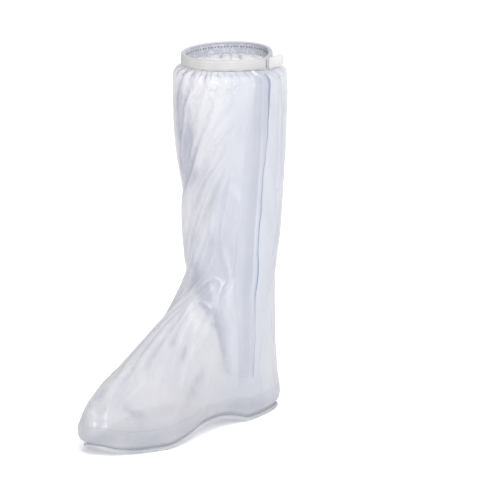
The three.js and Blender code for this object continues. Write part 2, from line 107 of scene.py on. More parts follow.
# The foot: share of the instep's height; rear and front as shares of half the sole; half-widths at the
# heel, waist, ball and toe as shares of the ball's; and how square the ends are.
FOOT = np.array([
    (0.00, 0.970, -0.955, 0.69, 0.67, 0.920, 0.70, 0.80),
    (0.04, 0.985, -0.985, 0.73, 0.73, 0.975, 0.76, 0.81),
    (0.11, 1.000, -1.000, 0.75, 0.79, 1.000, 0.80, 0.82),
    (0.20, 1.000, -0.995, 0.76, 0.82, 0.970, 0.76, 0.85),
    (0.30, 0.995, -0.950, 0.76, 0.83, 0.890, 0.68, 0.90),
    (0.40, 0.990, -0.835, 0.76, 0.81, 0.800, 0.60, 0.93),
    (0.54, 0.980, -0.545, 0.77, 0.78, 0.710, 0.56, 0.96),
    (0.70, 0.965, -0.210, 0.78, 0.77, 0.680, 0.58, 0.98),
    (0.85, 0.950, 0.060, 0.80, 0.80, 0.740, 0.68, 1.00),
])
WIDTH_PLACES = np.array([0.1, 0.42, 0.72, 0.95])

# The sole's rise: share of the way from heel to toe, the arch's part, the toe's part.
RISE = np.array([
    (0.00, 0.00, 0.0),
    (0.24, 0.00, 0.0),
    (0.36, 0.70, 0.0),
    (0.44, 1.00, 0.0),
    (0.54, 1.00, 0.0),
    (0.65, 0.45, 0.0),
    (0.76, 0.00, 0.0),
    (0.84, 0.00, 0.0),
    (0.93, 0.00, 0.4),
    (1.00, 0.00, 1.0),
])
LEG = np.array([(0.0, 0.0), (0.2, 0.14), (0.4, 0.42), (0.6, 0.7), (0.8, 0.9), (1.0, 1.0)])
GATHER = np.array([(0.35, 0.04), (0.7, 0.3), (1.0, 1.0)])
FLAP = np.array([(0.0, 0.62), (0.22, 1.0), (1.0, 1.0)])

# The film's main folds: round and up at one end, round and up at the other, then how deep (ridges are
# negative) and how wide, as shares of the deepest and the widest.
FOLDS = np.array([
    (0.51, 0.88, 0.52, 0.58, 0.6, 0.7),
    (0.39, 0.82, 0.58, 0.48, 0.8, 0.6),
    (0.28, 0.93, 0.36, 0.62, 0.6, 0.6),
    (0.31, 0.92, 0.38, 0.66, -0.5, 0.6),
    (0.36, 0.67, 0.28, 0.60, -0.4, 0.4),
    (0.38, 0.67, 0.44, 0.50, -0.5, 0.8),
    (0.45, 0.60, 0.44, 0.46, 0.5, 0.6),
    (0.43, 0.50, 0.30, 0.28, 0.8, 0.6),
    (0.48, 0.40, 0.33, 0.36, -0.5, 0.7),
    (0.46, 0.37, 0.31, 0.31, 0.9, 0.7),
    (0.32, 0.32, 0.27, 0.16, 1.0, 0.8),
    (0.31, 0.21, 0.36, 0.06, 0.8, 0.9),
    (0.34, 0.07, 0.44, 0.07, 0.5, 0.6),
    (0.54, 0.38, 0.34, 0.20, 0.5, 0.5),
    (0.46, 0.30, 0.39, 0.17, 0.4, 0.6),
    (0.37, 0.28, 0.36, 0.14, 0.4, 0.5),
    (0.44, 0.15, 0.39, 0.10, 0.6, 0.6),
    (0.50, 0.18, 0.47, 0.05, 0.5, 0.7),
    (0.60, 0.88, 0.64, 0.55, 0.6, 0.7),
    (0.74, 0.90, 0.66, 0.52, 0.7, 0.7),
    (0.66, 0.60, 0.80, 0.46, 0.6, 0.6),
    (0.60, 0.42, 0.78, 0.36, 0.9, 0.7),
    (0.58, 0.37, 0.66, 0.16, 0.6, 0.7),
    (0.70, 0.32, 0.65, 0.08, 0.7, 0.8),
    (0.84, 0.88, 0.80, 0.50, 0.6, 0.7),
    (0.95, 0.36, 0.82, 0.24, 0.6, 0.7),
    (0.04, 0.86, 0.97, 0.50, 0.7, 0.8),
    (0.10, 0.80, 0.06, 0.50, 0.5, 0.7),
    (0.12, 0.45, 0.02, 0.32, 0.6, 0.6),
    (0.15, 0.30, 0.06, 0.14, 0.6, 0.7),
])

# Where the film lies double or turns away and looks darker, or lies flat and looks lighter: painted shade and
# painted light along the folds, with some real darkening where the film is doubled. The columns are those of
# the folds, and the fifth is how dark.
SHADES = np.array([
    (0.60, 0.45, 0.36, 0.34, 1.5, 1.1),
    (0.44, 0.385, 0.28, 0.25, 1.6, 0.7),
    (0.50, 0.37, 0.31, 0.25, -0.9, 0.6),
    (0.32, 0.33, 0.27, 0.10, 1.1, 1.0),
    (0.53, 1.00, 0.54, 0.55, 1.2, 1.4),
    (0.56, 0.98, 0.57, 0.60, 0.9, 1.2),
    (0.27, 0.97, 0.36, 0.70, 0.9, 0.8),
    (0.34, 0.74, 0.47, 0.54, 0.8, 0.9),
    (0.45, 0.58, 0.57, 0.43, 0.9, 0.8),
    (0.35, 0.74, 0.34, 0.30, 1.2, 2.4),
    (0.47, 0.55, 0.35, 0.35, 1.0, 1.5),
    (0.40, 0.48, 0.35, 0.37, 0.9, 0.3),
    (0.385, 0.50, 0.34, 0.38, -1.8, 0.25),
    (0.345, 0.41, 0.30, 0.30, -1.8, 0.25),
    (0.30, 0.52, 0.325, 0.35, -1.4, 0.25),
    (0.54, 0.38, 0.33, 0.20, 0.5, 0.5),
    (0.45, 0.30, 0.39, 0.16, 0.5, 0.4),
    (0.48, 0.27, 0.43, 0.15, 0.5, 0.4),
    (0.52, 0.36, 0.46, 0.19, 0.4, 0.22),
    (0.49, 0.36, 0.44, 0.17, -0.6, 0.22),
    (0.47, 0.35, 0.42, 0.18, 0.5, 0.2),
    (0.455, 0.35, 0.40, 0.16, -0.7, 0.2),
    (0.44, 0.34, 0.385, 0.17, 0.5, 0.2),
    (0.42, 0.34, 0.365, 0.17, -0.7, 0.2),
    (0.405, 0.33, 0.35, 0.18, 0.5, 0.2),
    (0.385, 0.32, 0.34, 0.18, -0.6, 0.2),
    (0.38, 0.31, 0.31, 0.28, 0.5, 0.15),
    (0.475, 0.24, 0.45, 0.12, 0.6, 0.18),
    (0.445, 0.24, 0.43, 0.11, -0.8, 0.18),
    (0.39, 0.26, 0.375, 0.10, 0.6, 0.2),
    (0.36, 0.26, 0.35, 0.11, -0.7, 0.2),
    (0.32, 0.24, 0.33, 0.05, 0.7, 0.9),
    (0.48, 0.20, 0.51, 0.14, 1.1, 0.7),
    (0.52, 0.14, 0.50, 0.02, 0.9, 0.3),
    (0.44, 0.13, 0.39, 0.10, 0.6, 0.4),
    (0.54, 0.13, 0.53, 0.06, 0.7, 0.3),
    (0.50, 0.22, 0.47, 0.13, -0.8, 0.4),
    (0.52, 0.19, 0.53, 0.11, -0.9, 0.3),
    (0.485, 0.10, 0.50, 0.04, -0.9, 0.3),
    (0.53, 0.17, 0.50, 0.10, 0.8, 0.25),
    (0.47, 0.15, 0.455, 0.09, 0.6, 0.25),
    (0.505, 0.12, 0.475, 0.09, -1.3, 0.3),
    (0.32, 0.59, 0.26, 0.51, 0.7, 0.3),
    (0.36, 0.67, 0.28, 0.59, -1.5, 0.3),
    (0.37, 0.93, 0.42, 0.74, -0.5, 0.9),
    (0.41, 0.59, 0.54, 0.43, -1.0, 0.5),
    (0.38, 0.86, 0.46, 0.66, -0.4, 0.5),
    (0.57, 0.96, 0.59, 0.76, 0.7, 0.8),
])


# The film's shape, as the part's source has it

def mix(a, b, share):
    return a + (b - a) * share


def smoothstep(value, low, high):
    t = np.clip((value - low) / (high - low), 0, 1)
    return t * t * (3 - 2 * t)


def read(keys, values, at):
    """Values at places between the keys, on a smooth curve that never overshoots them."""
    at = np.asarray(at, float)
    steps = np.diff(keys)
    slopes = np.diff(values, axis=-1) / steps
    before, after = slopes[..., :-1], slopes[..., 1:]
    total = np.where(before + after == 0, 1, before + after)
    inner = np.where(before * after > 0, 2 * before * after / total, 0)
    none = np.zeros(inner.shape[:-1] + (1,))
    tangents = np.concatenate([none, inner, none], axis=-1)
    i = np.clip(np.searchsorted(keys, at, side="right") - 1, 0, len(keys) - 2)
    step = steps[i]
    t = np.clip((at - keys[i]) / step, 0, 1)

    def pick(array, index):
        return array[index] if array.ndim == 1 else np.take_along_axis(array, index, axis=-1)

    rise = t * t * (3 - 2 * t)
    return (
        pick(values, i) * (1 - rise)
        + pick(values, i + 1) * rise
        + step * pick(tangents, i) * t * (1 - t) ** 2
        - step * pick(tangents, i + 1) * t * t * (1 - t)
    )


def outline_rows():
    """Rows of height, rear, front, four half-widths and squareness, from the sole to the band."""
    rows = [
        (mix(FILM_BOTTOM, INSTEP_HEIGHT, at), rear * HALF_SOLE, front * HALF_SOLE,
         heel * HALF_BALL, waist * HALF_BALL, ball * HALF_BALL, toe * HALF_BALL, full)
        for at, rear, front, heel, waist, ball, toe, full in FOOT
    ]

    def oval(z, wide, deep, middle):
        rows.append((z, middle + deep / 2, middle - deep / 2) + (wide / 2,) * 4 + (1.0,))

    for at, swell in LEG:
        oval(mix(INSTEP_HEIGHT, GATHER_BOTTOM, at), mix(ANKLE_WIDTH, CALF_WIDTH, swell),
             mix(ANKLE_DEPTH, CALF_DEPTH, swell), LEG_CENTRE - CALF_LEAN * at)
    for at, draw in GATHER:
        oval(mix(GATHER_BOTTOM, BAND_BOTTOM, at), mix(CALF_WIDTH, BAND_WIDTH, draw),
             mix(CALF_DEPTH, BAND_DEPTH, draw), LEG_CENTRE - mix(CALF_LEAN, BAND_LEAN, draw))
    oval(HEIGHT, BAND_WIDTH, BAND_DEPTH, LEG_CENTRE - BAND_LEAN)
    return np.array(rows)


ROWS = outline_rows()


def side_line(z):
    """Where the zip runs along Y at a height."""
    return LEG_CENTRE - mix(ZIP_AHEAD_BOTTOM, ZIP_AHEAD_TOP, (z - ZIP_BOTTOM) / (HEIGHT - ZIP_BOTTOM))


class Outline:
    """The film's outline at heights z, which is a column; angles may be a row or a grid."""

    def __init__(self, z):
        self.z = np.asarray(z, float).reshape(-1, 1)
        values = [read(ROWS[:, 0], ROWS[:, k], self.z) for k in range(1, 8)]
        rear, self.front, self.full = values[0], values[1], values[6]
        self.halves = np.concatenate(values[2:6], axis=1)
        self.middle = (rear + self.front) / 2
        self.half_length = (rear - self.front) / 2

    def point(self, angle):
        angle = np.broadcast_to(angle, np.broadcast(angle, self.z).shape)
        forward = (1 - np.cos(angle)) / 2
        half = read(WIDTH_PLACES, self.halves, forward)
        side = np.sign(np.sin(angle)) * np.abs(np.sin(angle)) ** self.full
        drift = TOE_DRIFT * np.maximum(0, -self.front / HALF_SOLE)
        x = half * side + drift * forward**2
        y = self.middle + self.half_length * np.cos(angle)
        return np.stack([x, y, np.broadcast_to(self.z, x.shape)], axis=-1)

    def level(self, angle):
        along = unit(self.point(angle + 0.02) - self.point(angle - 0.02))
        return np.stack([-along[..., 1], along[..., 0], np.zeros(along.shape[:-1])], axis=-1)

    def angle_of(self, y):
        return np.arccos(np.clip((y - self.middle) / self.half_length, -1, 1))

    def angle_at(self, around, shift):
        """0 is the heel, 0.25 the zip's line, 0.5 the front and 0.75 the zip's twin."""
        share = np.where(around <= 0.5, around, 1 - around)
        side = self.angle_of(side_line(self.z) + shift)
        angle = np.where(share <= 0.25, side * share * 4, mix(side, math.pi, (share - 0.25) * 4))
        return np.where(around <= 0.5, angle, -angle)


def unit(vectors):
    """Vectors made one long."""
    return vectors / np.linalg.norm(vectors, axis=-1, keepdims=True)


def rise_at(y):
    """How far the sole's underside stands off the floor."""
    at = (HALF_SOLE - y) / SOLE_LENGTH
    return ARCH_RISE * read(RISE[:, 0], RISE[:, 1], at) + TOE_SPRING * read(RISE[:, 0], RISE[:, 2], at)


def base_point(around, z, shift=0.0):
    """The film's outer face without its folds, as a grid of heights by places round it."""
    outline = Outline(z)
    point = outline.point(outline.angle_at(around, shift))
    point[..., 2] += rise_at(point[..., 1]) * (1 - smoothstep(outline.z, LIP_TOP, RISE_REACH))
    return point


def way_out(around, z, shift=0.0):
    """The way out of the film. It is level at the sole and in the band."""
    turn, climb = 0.004, HEIGHT / 250
    z = np.asarray(z, float).reshape(-1, 1)
    across = base_point((around + turn) % 1, z, shift) - base_point((around + 1 - turn) % 1, z, shift)
    up = base_point(around, z + climb, shift) - base_point(around, z - climb, shift)
    out = np.cross(up, across)
    flat = np.broadcast_to((z <= FILM_BOTTOM) | (z >= BAND_BOTTOM), out.shape[:-1])
    out[..., 2] = np.where(flat, 0, out[..., 2])
    return unit(out)


def fold_push(points, folds, steps=8):
    """How far folds push points out, as a share of the deepest. A fold fades towards its ends."""
    push = np.zeros(points.shape[:-1])
    for start, low, end, high, deep, wide in folds:
        most = np.zeros_like(push)
        line = np.array([
            base_point(np.array([[mix(start, end, share) % 1]]), mix(low, high, share) * HEIGHT)[0, 0]
            for share in np.linspace(0, 1, steps + 1)])
        for k in range(steps):
            along = line[k + 1] - line[k]
            t = np.clip((points - line[k]) @ along / (along @ along), 0, 1)
            away = np.linalg.norm(points - line[k] - t[..., None] * along, axis=-1) / (wide * FOLD_WIDTH)
            fade = np.sin(math.pi * (k + t) / steps)
            most = np.maximum(most, fade * np.exp(-away * away))
        push -= deep * most
    return push


def pleat_push(around, z):
    """How far the pleats under the band push the film out."""
    below = np.clip((BAND_BOTTOM - z) / PLEAT_REACH, 0, 1)
    return 0.6 * PLEAT_DEPTH * np.sin(math.pi * np.sqrt(below)) * np.cos(2 * math.pi * PLEAT_COUNT * around)


def keeps_smooth(points, z):
    """0 beside the zip, where the film lies flat under the flap, and 1 elsewhere."""
    away = np.abs(points[..., 1] - side_line(z))
    return np.where(points[..., 0] > 0, smoothstep(away, FLAP_WIDTH, FLAP_WIDTH * 1.5), 1.0)


def origin_shift():
    """From the source's first axes to the frame's, found from the outsole's place in the frame."""
    outline = Outline(LIP_TOP)
    angle = outline.angle_at(np.linspace(0, 1, 400)[None, :], 0.0)
    ring = outline.point(angle) + (GAP + LIP_WIDTH) * outline.level(angle)
    low, high = (np.array(corner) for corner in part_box("outsole"))
    middle = (ring.reshape(-1, 3).min(0) + ring.reshape(-1, 3).max(0)) / 2
    shift = (low + high) / 2 * 1000 - middle
    return np.array([shift[0], shift[1], 0.0])


SHIFT = origin_shift()


# Making meshes

def droop(points):
    """The top hangs a little lower where the band's two ends meet."""
    meeting = np.array([BAND_WIDTH / 2, BAND_SPLIT_PLACE])
    away = np.linalg.norm(points[:, :2] - meeting, axis=1)
    points = points.copy()
    points[:, 2] -= DROOP * np.exp(-((away / DROOP_REACH) ** 2)) * smoothstep(points[:, 2], 330, BAND_BOTTOM)
    return points


def add_mesh(name, points, faces, material, node=None, smooth=True):
    """A new object from points in the source's millimetres."""
    mesh = bpy.data.meshes.new(name)
    corners = (droop(np.asarray(points, float).reshape(-1, 3)) + SHIFT) / 1000
    mesh.from_pydata(corners.tolist(), [], faces)
    mesh.materials.append(material)
    mesh.polygons.foreach_set("use_smooth", [smooth] * len(mesh.polygons))
    mesh.update()
    obj = bpy.data.objects.new(name, mesh)
    bpy.context.scene.collection.objects.link(obj)
    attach(obj, "root")
    if node:
        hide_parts(node)
    return obj


def mark(obj, name, values):
    """Keeps a number for each point of an object, for its material."""
    layer = obj.data.attributes.new(name, "FLOAT", "POINT")
    layer.data.foreach_set("value", np.asarray(values, np.float32).ravel())


def blur(values, reach):
    """A grid whose columns close round, blurred over a number of cells."""
    for _ in range(reach):
        rows = np.vstack([values[:1], values, values[-1:]])
        values = (rows[:-2] + 2 * values + rows[2:]) / 4
        values = (np.roll(values, 1, 1) + 2 * values + np.roll(values, -1, 1)) / 4
    return values


def grid_faces(high, wide, closed=False, leave=None):
    """Quads of a grid of points, row by row."""
    faces = []
    for i in range(high - 1):
        for j in range(wide if closed else wide - 1):
            if leave and leave(i, j):
                continue
            k = (j + 1) % wide
            faces.append((i * wide + j, i * wide + k, (i + 1) * wide + k, (i + 1) * wide + j))
    return faces


def loft(sections, caps=True):
    """Points and faces of a body lofted through closed sections, each a list of points."""
    sections = np.asarray(sections, float)
    high, wide = sections.shape[:2]
    faces = grid_faces(high, wide, closed=True)
    if caps:
        faces.append(tuple(reversed(range(wide))))
        faces.append(tuple(range((high - 1) * wide, high * wide)))
    return sections.reshape(-1, 3), faces


def turn_out(obj):
    """Turns the faces of a closed body outwards."""
    bm = bmesh.new()
    bm.from_mesh(obj.data)
    bmesh.ops.recalc_face_normals(bm, faces=bm.faces)
    bm.to_mesh(obj.data)
    bm.free()


# Materials

class Nodes:
    """Short ways to add shader nodes to a new material."""

    def __init__(self, name):
        self.material = bpy.data.materials.new(name)
        self.material.use_nodes = True
        self.tree = self.material.node_tree
        self.tree.nodes.clear()
        self.output = self.tree.nodes.new("ShaderNodeOutputMaterial")

    def add(self, kind, inputs=None, **settings):
        node = self.tree.nodes.new(kind)
        for key, value in settings.items():
            setattr(node, key, value)
        for key, value in (inputs or {}).items():
            self.feed(node.inputs[key], value)
        return node

    def feed(self, socket, value):
        if isinstance(value, bpy.types.NodeSocket):
            self.tree.links.new(value, socket)
        else:
            socket.default_value = value

    def place(self, scale=(1, 1, 1)):
        coords = self.add("ShaderNodeTexCoord").outputs["Object"]
        return self.add("ShaderNodeMapping", {"Vector": coords, "Scale": scale}).outputs["Vector"]

    def mark(self, name):
        return self.add("ShaderNodeAttribute", attribute_name=name).outputs["Fac"]

    def noise(self, vector, scale, detail=3.0, rough=0.5, distortion=0.0):
        node = self.add("ShaderNodeTexNoise", {
            "Vector": vector, "Scale": scale, "Detail": detail, "Roughness": rough, "Distortion": distortion})
        return node.outputs["Fac"]

    def ramp(self, value, low, high, to_low=0.0, to_high=1.0):
        node = self.add("ShaderNodeMapRange", {
            "Value": value, "From Min": low, "From Max": high, "To Min": to_low, "To Max": to_high})
        node.interpolation_type = "SMOOTHSTEP"
        return node.outputs["Result"]

    def math(self, kind, a, b=0.0):
        node = self.add("ShaderNodeMath", operation=kind)
        self.feed(node.inputs[0], a)
        self.feed(node.inputs[1], b)
        return node.outputs[0]

    def colour(self, share, a, b):
        node = self.add("ShaderNodeMix", data_type="RGBA")
        self.feed(node.inputs["Factor"], share)
        self.feed(node.inputs["A"], a)
        self.feed(node.inputs["B"], b)
        return node.outputs["Result"]

    def bump(self, height, strength, distance, normal=None):
        inputs = {"Height": height, "Strength": strength, "Distance": distance}
        if normal is not None:
            inputs["Normal"] = normal
        return self.add("ShaderNodeBump", inputs).outputs["Normal"]

    def blend(self, share, a, b):
        node = self.add("ShaderNodeMixShader")
        self.feed(node.inputs[0], share)
        self.feed(node.inputs[1], a)
        self.feed(node.inputs[2], b)
        return node.outputs[0]

    def finish(self, shader):
        self.feed(self.output.inputs["Surface"], shader)
        return self.material


# Colours of the film's marked places, among them painted light on the top, on the ridges and in the flap's
# glint, and of the knit
LIT_TOP = (0.90, 0.895, 0.91, 1)
RIDGE_LIGHT = (0.83, 0.83, 0.845, 1)
BESIDE_ZIP = (0.63, 0.66, 0.74, 1)
FOOT_RIM = (0.52, 0.535, 0.58, 1)
WELD = (0.45, 0.47, 0.56, 1)
GLINT = (0.93, 0.94, 0.96, 1)
KNIT_FLECK = (0.82, 0.83, 0.86, 1)
KNIT_GREY = (0.50, 0.51, 0.56, 1)


def film_material(name, tint, milky, dark=None, clear=0.25, creases=1.0, marked=None):
    """Milky see-through film: part lets light through straight, part spreads it, part glosses.

    Marks on the mesh's points say where the boot's film is painted darker or lighter, as painted shade in its
    hollows, folds and gathers and painted light on its ridges and towards its top, and where the flap's edge
    is, with its painted shadow and highlights.
    """
    n = Nodes(name)
    place = n.place()
    streaks = n.place((1.0, 1.0, 0.32))
    cloudy = n.ramp(n.noise(place, 16.0, 2.0), 0.35, 0.7)
    cells = n.add("ShaderNodeTexVoronoi", {
        "Vector": streaks, "Scale": 55.0, "Randomness": 1.0}, feature="DISTANCE_TO_EDGE").outputs["Distance"]
    crease = n.ramp(cells, 0.0, 0.2)
    soft = n.noise(streaks, 70.0, 4.0, 0.6, 0.6)
    heights = n.math("ADD", n.math("MULTIPLY", crease, 0.2), soft)
    waves = n.noise(n.place((1.0, 1.0, 0.5)), 26.0, 3.0, 0.55, 1.2)
    normal = n.bump(heights, 0.3 * creases, 0.0012, n.bump(waves, 0.45, 0.006))
    colour = n.colour(cloudy, tint, milky)
    if marked == "film":
        above = n.mark("above_floor")
        # Painted light: the film is lighter towards its top.
        colour = n.colour(n.ramp(above, 300.0, 365.0, 0.0, 0.6), colour, LIT_TOP)
        # Painted shade in the film's hollows, folds and gathers, and painted light on its ridges, with some
        # real darkening where the film lies double.
        patchy = n.ramp(n.noise(streaks, 60.0, 3.0, 0.6, 0.8), 0.3, 0.7, 0.65, 1.25)
        fold_shade_and_light = n.math("MULTIPLY", n.mark("fold_shade_and_light"), patchy)
        colour = n.colour(n.ramp(fold_shade_and_light, 0.0, 2.0), colour, dark)
        colour = n.colour(n.ramp(fold_shade_and_light, 0.0, -1.4), colour, RIDGE_LIGHT)
        colour = n.colour(n.math("MULTIPLY", n.mark("beside_zip"), 0.6), colour, BESIDE_ZIP)
        uneven = n.ramp(n.noise(place, 26.0, 3.0), 0.3, 0.7, 0.25, 0.8)
        rim = n.math("MULTIPLY", n.ramp(above, 33.0, 12.0), uneven)
        colour = n.colour(rim, colour, FOOT_RIM)
        weld = n.ramp(n.math("ABSOLUTE", n.math("SUBTRACT", above, WELD_HEIGHT)), 0.8, 0.2)
        colour = n.colour(n.math("MULTIPLY", weld, n.math("MULTIPLY", uneven, 0.5)), colour, WELD)
    if marked == "flap":
        # Painted shadow along the flap's free edge, over its denser hem, and painted highlights beside it.
        edge = n.mark("edge")
        colour = n.colour(edge, colour, dark)
        colour = n.colour(n.ramp(edge, 0.0, -1.0), colour, GLINT)
    body = n.add("ShaderNodeBsdfPrincipled", {
        "Base Color": colour, "Roughness": 0.27, "IOR": 1.45, "Specular IOR Level": 0.7,
        "Coat Weight": 0.3, "Coat Roughness": 0.12, "Normal": normal}).outputs[0]
    through = n.add("ShaderNodeBsdfTranslucent", {"Color": colour, "Normal": normal}).outputs[0]
    open_way = n.add("ShaderNodeBsdfTransparent", {"Color": (0.97, 0.975, 0.99, 1.0)}).outputs[0]
    facing = n.add("ShaderNodeLayerWeight", {"Blend": 0.35, "Normal": normal}).outputs["Facing"]
    share = n.ramp(facing, 0.0, 0.8, clear, clear * 0.25)
    spread = n.blend(0.5, body, through)
    return n.finish(n.blend(share, spread, open_way))


# The third colour given to the boot's film and to the flap is the colour of their painted shade.
FILM = film_material(
    "milky_film", (0.69, 0.69, 0.735, 1), (0.75, 0.745, 0.765, 1), (0.42, 0.43, 0.51, 1),
    clear=0.3, marked="film")
FLAP_FILM = film_material(
    "flap_film", (0.655, 0.675, 0.73, 1), (0.70, 0.715, 0.755, 1), (0.22, 0.27, 0.42, 1),
    creases=1.2, marked="flap")
SOLE_FILM = film_material(
    "sole_film", (0.67, 0.675, 0.70, 1), (0.72, 0.725, 0.745, 1), clear=0.22, creases=0.6)


def tape_material(name, colour, pitch, rough, lines=0.1, inside=None, flecks=0.0):
    """A weave with darker lines, and another colour where a mark called inside says so."""
    n = Nodes(name)
    place = n.place()
    rows = n.add("ShaderNodeTexWave", {"Vector": place, "Scale": 100 / pitch, "Distortion": 1.5},
                 bands_direction="Z").outputs["Fac"]
    grain = n.noise(place, 900.0, 2.0)
    uneven = n.noise(place, 60.0, 2.0)
    dark, darker = (tuple(c * share for c in colour[:3]) + (1,) for share in (0.93, 0.8))
    shade = n.colour(n.ramp(uneven, 0.3, 0.7), dark, colour)
    if flecks:
        knit = n.add("ShaderNodeTexVoronoi", {"Vector": place, "Scale": 520.0}).outputs["Color"]
        shade = n.colour(n.math("MULTIPLY", n.ramp(knit, 0.55, 0.8), flecks), shade, KNIT_FLECK)
    shade = n.colour(n.math("MULTIPLY", rows, lines), shade, darker)
    if inside:
        shade = n.colour(n.mark("inside"), shade, inside)
    normal = n.bump(n.math("ADD", n.math("MULTIPLY", rows, 0.5), grain), 0.5, 0.0003)
    cloth = n.add("ShaderNodeBsdfPrincipled", {
        "Base Color": shade, "Roughness": rough, "Sheen Weight": 0.2, "Sheen Roughness": 0.5,
        "Specular IOR Level": 0.3, "Normal": normal})
    return n.finish(cloth.outputs[0])


# The band's tape is set darker than the tab's, though both are the same white tape: painted shade, over the
# band's real darker woven rows.
BAND_SHADED = tape_material("band_tape", (0.53, 0.53, 0.53, 1), 0.9, 0.7, lines=0.45, inside=KNIT_GREY)
TAB = tape_material("tab_tape", (0.60, 0.60, 0.60, 1), 0.9, 0.7)
LINING = tape_material("knit_elastic", (0.46, 0.47, 0.52, 1), 0.7, 0.9, lines=0.35, flecks=0.45)
ZIP = tape_material("zip_tape", (0.90, 0.905, 0.93, 1), 0.9, 0.7)
TEETH = tape_material("zip_teeth", (0.84, 0.85, 0.90, 1), 0.5, 0.35)
STITCH = tape_material("stitch_thread", (0.20, 0.21, 0.26, 1), 0.4, 0.6)


# The film boot

def film_places(rear, front):
    """Places round the film. The slit's two edges and their twins lie at 0.25 and 0.75."""
    half = SLIT_WIDTH / 2
    one = [(0.25 * i / rear, half) for i in range(rear + 1)]
    one += [(0.25 + 0.25 * i / front, -half) for i in range(front + 1)]
    other = [(1 - around, shift) for around, shift in reversed(one[1:-1])]
    around, shift = np.array(one + other).T
    return around[None, :], shift[None, :]


def folded_film(around, shift, z):
    """The film's middle face with its charted folds and its pleats, and the way out of it."""
    points = base_point(around, z, shift)
    out = way_out(around, z, shift)
    column = z[:, None]
    settled = smoothstep(column, LIP_TOP, LIP_TOP + HALF_BALL / 4)
    push = FOLD_DEPTH * fold_push(points, FOLDS) + pleat_push(around, column)
    push = push * keeps_smooth(points, column) * settled
    return points + out * (push - FILM_WALL / 2)[..., None], out


def loose_film(points, out, z, around):
    """The film swollen unevenly and turned about the leg, so that it has more film than it needs."""
    swell = smoothstep(z, LIP_TOP, 40) * (1 - smoothstep(z, GATHER_BOTTOM, BAND_BOTTOM))
    turn = np.radians(TWIST) * np.interp(z, [0, 60, 120, 170, 330, 384], [0, 0, -0.3, 0, 1, 1])
    turns, column = 2 * math.pi * around, z[:, None]
    uneven = 1 + 0.45 * np.sin(2 * turns + column / 41) + 0.4 * np.sin(3 * turns - column / 27 + 1)
    uneven = uneven + 0.9 * smoothstep(-points[..., 1], 85, 125)
    rest = points + out * (SWELL * swell[:, None] * uneven)[..., None]
    middle = points.mean(axis=1, keepdims=True)
    from_middle = rest - middle
    cos, sin = np.cos(turn)[:, None], np.sin(turn)[:, None]
    turned = np.stack([from_middle[..., 0] * cos - from_middle[..., 1] * sin,
                       from_middle[..., 0] * sin + from_middle[..., 1] * cos,
                       from_middle[..., 2]], axis=-1)
    return turned + middle


def film_hold(points, z):
    """How firmly the cloth simulation holds each point of the film."""
    column = z[:, None]
    beside = np.abs(points[..., 1] - side_line(column))
    at_zip = (points[..., 0] > 0) * (1 - smoothstep(beside, FLAP_WIDTH - 6, FLAP_WIDTH + 8))
    at_zip = at_zip * smoothstep(column, ZIP_BOTTOM - 25, ZIP_BOTTOM)
    foot_end = 1 - smoothstep(column, LIP_TOP, LIP_TOP + 9)
    ends = np.maximum(foot_end, smoothstep(column, BAND_BOTTOM - 7, BAND_BOTTOM))
    return np.maximum(np.maximum(at_zip, ends), LOOSE)


def crumple(points, out, z, around):
    """The film after a short cloth simulation that draws its loose shape to its true one."""
    high, wide = points.shape[:2]
    rest = loose_film(points, out, z, around)
    mesh = bpy.data.meshes.new("crumple")
    mesh.from_pydata((rest.reshape(-1, 3) / 1000).tolist(), [], grid_faces(high, wide, True))
    obj = bpy.data.objects.new("crumple", mesh)
    scene = bpy.context.scene
    scene.collection.objects.link(obj)
    obj.shape_key_add(name="loose")
    drawn = obj.shape_key_add(name="drawn")
    drawn.data.foreach_set("co", (points / 1000).ravel())
    drawn.value = 0
    drawn.keyframe_insert("value", frame=1)
    drawn.value = 1
    drawn.keyframe_insert("value", frame=DRAWN_BY)
    group = obj.vertex_groups.new(name="hold")
    for index, weight in enumerate(film_hold(points, z).ravel()):
        group.add([index], float(weight), "REPLACE")
    settings = obj.modifiers.new("cloth", "CLOTH").settings
    settings.quality = 4
    settings.mass = 0.05
    settings.tension_stiffness = settings.compression_stiffness = 30
    settings.shear_stiffness = 12
    settings.bending_stiffness = 0.5
    settings.tension_damping = settings.compression_damping = settings.shear_damping = 8
    settings.air_damping = 2
    settings.effector_weights.gravity = 0
    settings.vertex_group_mass = "hold"
    settings.pin_stiffness = 1
    for step in range(1, FRAMES + 1):
        scene.frame_set(step)
    done = obj.evaluated_get(bpy.context.evaluated_depsgraph_get()).to_mesh()
    after = np.empty(3 * high * wide)
    done.vertices.foreach_get("co", after)
    scene.frame_set(1)
    bpy.data.objects.remove(obj)
    return after.reshape(high, wide, 3) * 1000


def between(values, closed):
    """Values of the first axis with smooth ones put in between each two."""
    if closed:
        before, after, last = np.roll(values, 1, 0), np.roll(values, -1, 0), np.roll(values, -2, 0)
        middle = (9 * (values + after) - before - last) / 16
        return np.stack([values, middle], axis=1).reshape((-1,) + values.shape[1:])
    middle = (values[:-1] + values[1:]) / 2
    both = np.empty((2 * len(values) - 1,) + values.shape[1:])
    both[0::2], both[1::2] = values, middle
    return both


def proud_film(points, z):
    """How far the film stands out of the solid's wall: at the foot, over the sole's lip, and at the leg."""
    low_down = smoothstep(z, LIP_TOP - 1, LIP_TOP + 6) * (1 - smoothstep(z, 22, 40))
    high_up = smoothstep(z, 150, 200) * (1 - smoothstep(z, 340, GATHER_BOTTOM))
    proud = (FOOT_PROUD * low_down + LEG_PROUD * high_up)[:, None]
    over_lip = smoothstep(z, FILM_BOTTOM, LIP_TOP + 1) * (1 - smoothstep(z, 8, 34))
    return proud + over_lip[:, None] * (LIP_PROUD + TOE_PROUD * smoothstep(-points[..., 1], 95, 145))


